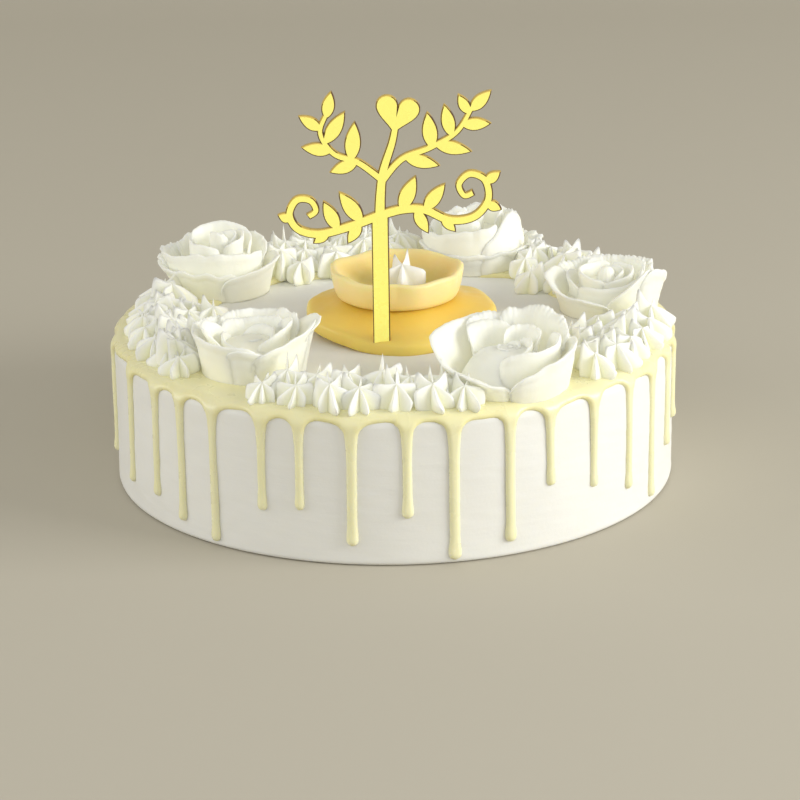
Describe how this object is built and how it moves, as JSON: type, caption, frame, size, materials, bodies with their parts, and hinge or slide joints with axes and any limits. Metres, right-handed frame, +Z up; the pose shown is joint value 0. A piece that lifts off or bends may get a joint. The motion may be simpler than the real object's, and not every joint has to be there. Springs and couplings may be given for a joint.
{
  "type": "drip cake",
  "caption": "Round cream cake with a pale yellow drip glaze, piped cream roses and star dollops, a fruit flower in the middle and a flat gold scrollwork topper.",
  "frame": {"origin": "middle of the flat underside of the cake", "axes": "+Z up through the cake, -Y towards the viewer the topper faces, +X to that viewer's right"},
  "size_m": [0.2241, 0.2243, 0.1613],
  "materials": {
    "frosting": "soft matt cream",
    "glaze": "satin gloss, pale yellow",
    "rose_cream": "soft matt cream",
    "star_cream": "soft matt cream",
    "fruit_base": "moist, slightly translucent",
    "fruit_cup": "moist, translucent",
    "middle_cream": "soft matt cream",
    "topper_gold": "gold mirror acrylic"
  },
  "bodies": {
    "root": {"cake_body": "frosting", "drip_glaze": "glaze", "rose_back_left": "rose_cream", "rose_front_left": "rose_cream", "rose_back_right": "rose_cream", "rose_right": "rose_cream", "rose_front_right": "rose_cream", "star_cluster_front": "star_cream", "star_cluster_left": "star_cream", "star_cluster_back": "star_cream", "star_cluster_back_right": "star_cream", "star_cluster_right": "star_cream", "fruit_base": "fruit_base", "fruit_cup": "fruit_cup", "cream_star": "middle_cream", "topper": "topper_gold"}
  },
  "joints": []
}
